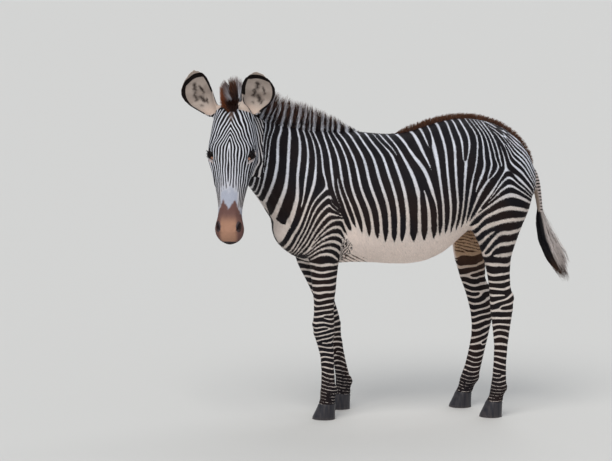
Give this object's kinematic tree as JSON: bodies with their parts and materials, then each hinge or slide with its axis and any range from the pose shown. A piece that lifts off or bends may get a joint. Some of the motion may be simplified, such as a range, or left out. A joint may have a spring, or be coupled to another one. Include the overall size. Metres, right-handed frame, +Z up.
{
  "type": "grevy's zebra model",
  "caption": "Life-size standing model of a narrow-striped wild zebra with its head turned to its left, erect mane, large round ears and a tufted tail.",
  "frame": {"origin": "on the ground, under the middle of the bounding box", "axes": "+Z up, the animal faces -X with its left side towards -Y"},
  "size_m": [2.0976, 0.7006, 1.7902],
  "materials": {
    "coat": "short flat fur, black-brown and cream stripes",
    "long_hair": "coarse hair in locks",
    "eye": "wet gloss",
    "hoof": "worn horn"
  },
  "bodies": {
    "root": {"trunk": "coat", "neck": "coat", "head": "coat", "ear_left": "coat", "ear_right": "coat", "foreleg_left_upper": "coat", "foreleg_left_lower": "coat", "foreleg_right_upper": "coat", "foreleg_right_lower": "coat", "hindleg_left_upper": "coat", "hindleg_left_lower": "coat", "hindleg_right_upper": "coat", "hindleg_right_lower": "coat", "tail": "coat", "tail_tassel": "long_hair", "mane": "long_hair", "dorsal_ridge": "long_hair", "eye_left": "eye", "eye_right": "eye", "foreleg_left_hoof": "hoof", "foreleg_right_hoof": "hoof", "hindleg_left_hoof": "hoof", "hindleg_right_hoof": "hoof"}
  },
  "joints": []
}
